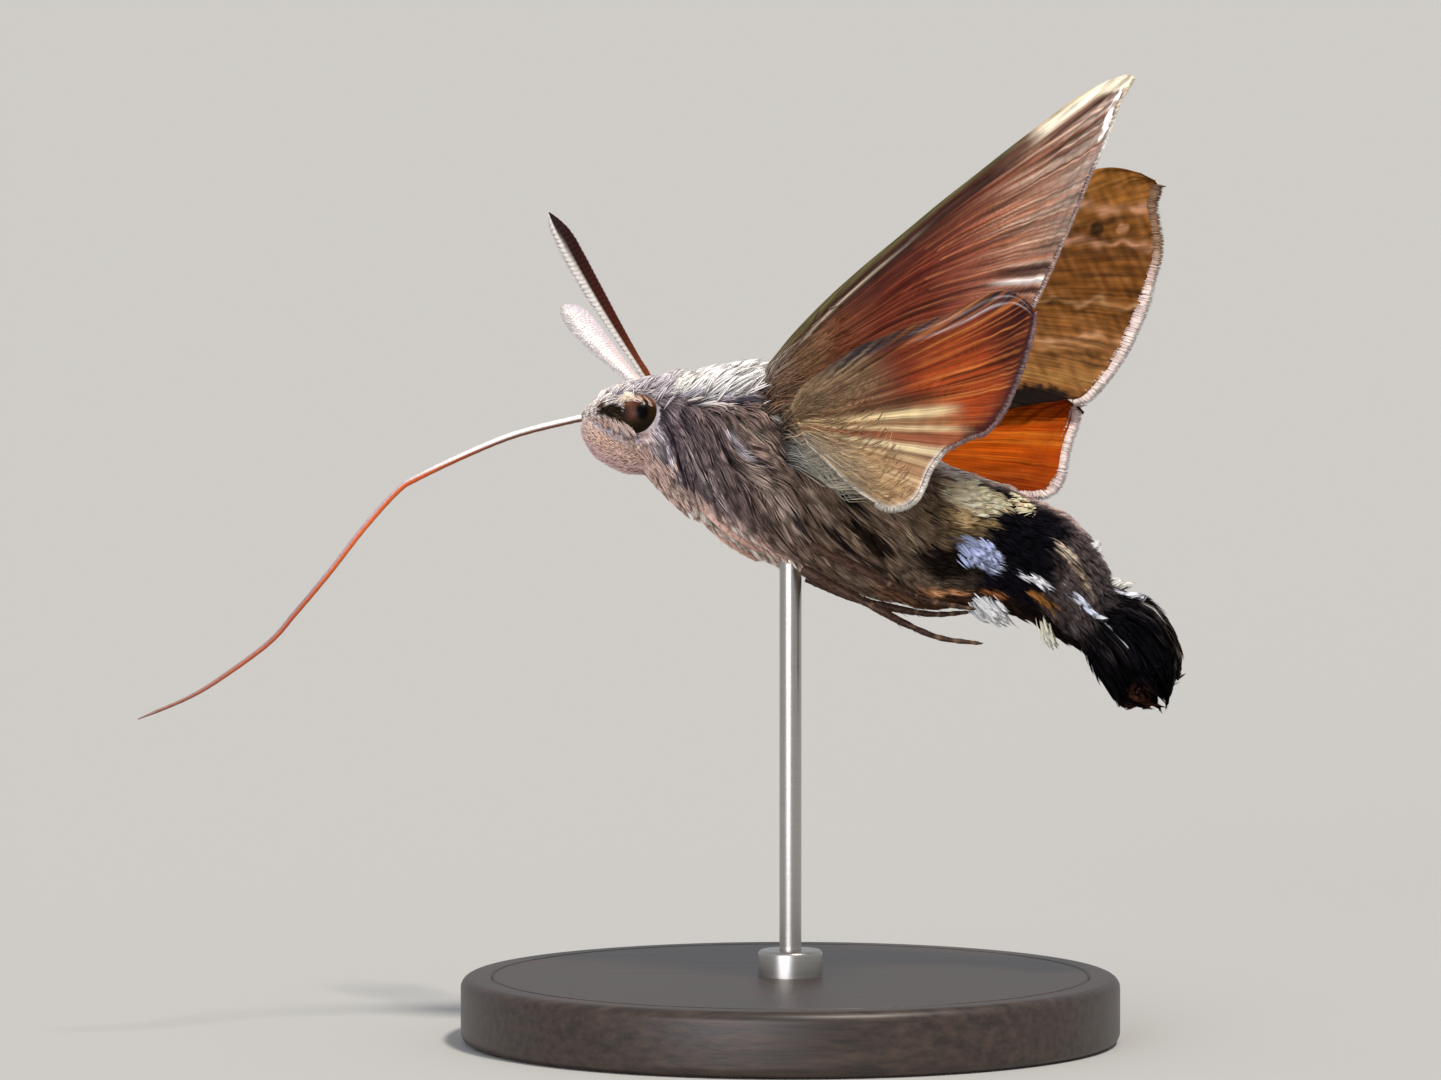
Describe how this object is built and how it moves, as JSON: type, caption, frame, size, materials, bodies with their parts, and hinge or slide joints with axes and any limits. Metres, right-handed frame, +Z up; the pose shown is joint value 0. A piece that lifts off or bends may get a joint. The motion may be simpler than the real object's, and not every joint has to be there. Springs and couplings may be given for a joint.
{
  "type": "hummingbird hawk moth model",
  "caption": "Life-size still model of a hummingbird hawk moth hovering with raised wings and an uncoiled proboscis, held above a round base by a slim rod.",
  "frame": {"origin": "centre of the stand's underside", "axes": "+Z up; the moth faces -X, with its left side towards -Y"},
  "size_m": [0.0475, 0.0304, 0.0444],
  "materials": {
    "head_coat": "short pinkish-beige and cream scale fur",
    "thorax_coat": "long grey-brown scale fur",
    "abdomen_coat": "dark overlapping scales with white and cream side tufts",
    "fan_coat": "long black scale tufts",
    "eye": "glossy faceted cornea over a brown eye",
    "antenna": "ringed dark red-brown cuticle with pale scales",
    "proboscis": "smooth ringed amber cuticle",
    "forewing": "scaled membrane, brown above and red-brown beneath",
    "hindwing": "scaled orange membrane with a dark margin",
    "leg": "scaled dark brown cuticle",
    "stand_wood": "satin ebonised hardwood",
    "stand_steel": "fine brushed steel"
  },
  "bodies": {
    "root": {"head": "head_coat", "eye_left": "eye", "eye_right": "eye", "palp_left": "head_coat", "palp_right": "head_coat", "antenna_left": "antenna", "antenna_right": "antenna", "proboscis_base": "proboscis", "proboscis_middle": "proboscis", "proboscis_tip": "proboscis", "thorax": "thorax_coat", "abdomen": "abdomen_coat", "tail_fan": "fan_coat", "forewing_left": "forewing", "forewing_right": "forewing", "hindwing_left": "hindwing", "hindwing_right": "hindwing", "leg_front_left": "leg", "leg_front_right": "leg", "leg_middle_left": "leg", "leg_middle_right": "leg", "leg_hind_left": "leg", "leg_hind_right": "leg", "stand_base": "stand_wood", "stand_rod": "stand_steel"}
  },
  "joints": []
}
